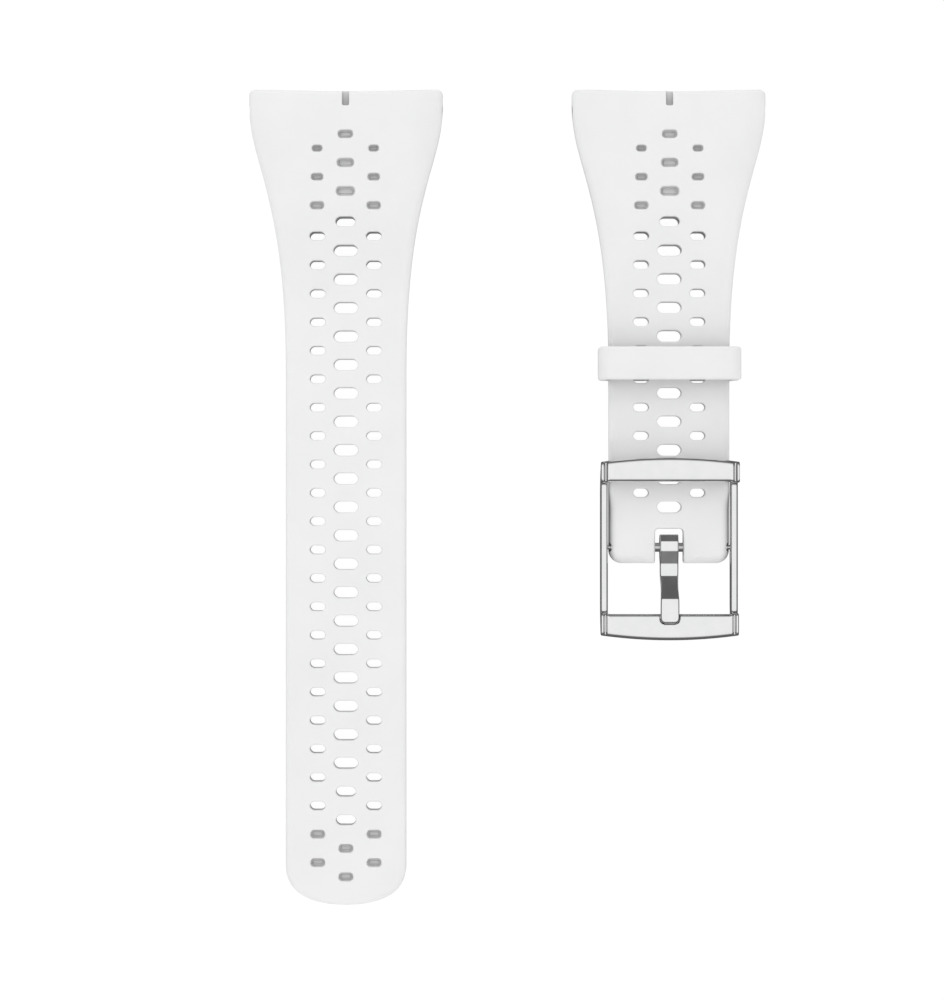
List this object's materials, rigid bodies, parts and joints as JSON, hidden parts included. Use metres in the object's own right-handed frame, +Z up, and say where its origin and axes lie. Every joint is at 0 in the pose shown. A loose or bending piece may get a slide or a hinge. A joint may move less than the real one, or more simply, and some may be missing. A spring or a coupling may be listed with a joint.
{
  "type": "watch wristband",
  "caption": "Perforated silicone wristband for a sports watch: a long strap, and a short strap with a sliding keeper and a tang buckle on a sprung bar.",
  "frame": {"origin": "under the middle of the set, on the surface that both straps lie on", "axes": "+Y along both straps towards their watch ends, +X across them from the long strap to the short one, +Z up from the wrist faces to the outer faces"},
  "size_m": [0.0862, 0.136, 0.0081],
  "materials": {
    "white_silicone": "fine matt silicone",
    "polished_steel": "polished",
    "pin_steel": "turned",
    "spring_steel": "drawn wire",
    "bush_plastic": "moulded"
  },
  "bodies": {
    "short_side": {"short_strap": "white_silicone", "short_lug_pin": "pin_steel", "short_lug_bush_left": "bush_plastic", "short_lug_bush_right": "bush_plastic", "short_lug_screw_left": "pin_steel", "short_lug_screw_right": "pin_steel", "spring_bar_tube": "pin_steel", "spring_bar_spring": "spring_steel"},
    "long_side": {"long_strap": "white_silicone", "long_lug_pin": "pin_steel", "long_lug_bush_left": "bush_plastic", "long_lug_bush_right": "bush_plastic", "long_lug_screw_left": "pin_steel", "long_lug_screw_right": "pin_steel"},
    "keeper": {"keeper_loop": "white_silicone"},
    "frame": {"buckle_frame": "polished_steel"},
    "tongue": {"buckle_tongue": "polished_steel"},
    "tip_left": {"spring_bar_tip_left": "pin_steel"},
    "tip_right": {"spring_bar_tip_right": "pin_steel"}
  },
  "joints": [
    {"name": "long_strap_lift", "type": "slide", "parent": "short_side", "child": "long_side", "axis": [0, 0, 1], "range_m": [0, 0.04]},
    {"name": "keeper_slide", "type": "slide", "parent": "short_side", "child": "keeper", "axis": [0, 1, 0], "range_m": [-0.0112, 0.004]},
    {"name": "buckle_swing", "type": "hinge", "parent": "short_side", "child": "frame", "pos_m": [0.02692, -0.00835, 0.0024], "axis": [1, 0, 0], "range_deg": [-5, 150]},
    {"name": "tongue_lift", "type": "hinge", "parent": "frame", "child": "tongue", "pos_m": [0.02692, -0.00835, 0.0024], "axis": [-1, 0, 0], "range_deg": [0, 125]},
    {"name": "tip_left_press", "type": "slide", "parent": "short_side", "child": "tip_left", "axis": [1, 0, 0], "range_m": [0, 0.001], "stiffness_N_per_m": 600, "springref_m": -0.0015, "deforming": ["spring_bar_spring"]},
    {"name": "tip_right_press", "type": "slide", "parent": "short_side", "child": "tip_right", "axis": [-1, 0, 0], "range_m": [0, 0.001], "stiffness_N_per_m": 600, "springref_m": -0.0015, "deforming": ["spring_bar_spring"]}
  ]
}
